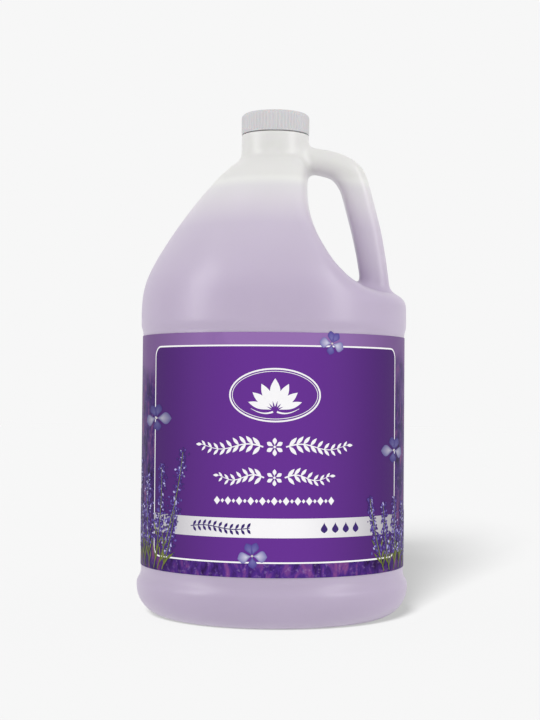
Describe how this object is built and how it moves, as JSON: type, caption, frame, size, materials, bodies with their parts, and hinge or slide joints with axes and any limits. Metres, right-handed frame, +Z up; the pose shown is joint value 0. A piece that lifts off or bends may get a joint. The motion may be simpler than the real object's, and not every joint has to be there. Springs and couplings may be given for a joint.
{
  "type": "handle jug",
  "caption": "Round blow-moulded jug with an integral side handle, a ribbed screw cap, a wrap-around printed label and a lotion fill.",
  "frame": {"origin": "centre of the base, on the plane of its standing ring", "axes": "+Z up along the neck, +X towards the handle, -Y towards the front of the label"},
  "size_m": [0.1566, 0.1566, 0.291],
  "materials": {
    "natural_hdpe": "translucent satin",
    "white_cap": "satin",
    "liner_foam": "matt",
    "printed_film": "satin print",
    "lotion": "wet gloss"
  },
  "bodies": {
    "jug": {"jug_body": "natural_hdpe", "label": "printed_film", "lotion": "lotion"},
    "liner": {"cap_liner": "liner_foam"},
    "cap": {"screw_cap": "white_cap"}
  },
  "joints": [
    {"name": "cap_lift", "type": "slide", "parent": "jug", "child": "liner", "axis": [0, 0, 1], "range_m": [0, 0.01376]},
    {"name": "cap_turn", "type": "hinge", "parent": "liner", "child": "cap", "pos_m": [0, 0, 0.2788], "axis": [0, 0, 1], "range_deg": [0, 1170]}
  ],
  "couplings": [
    {"joint": "cap_lift", "follows": "cap_turn", "m_per_rad": 0.00067375}
  ]
}
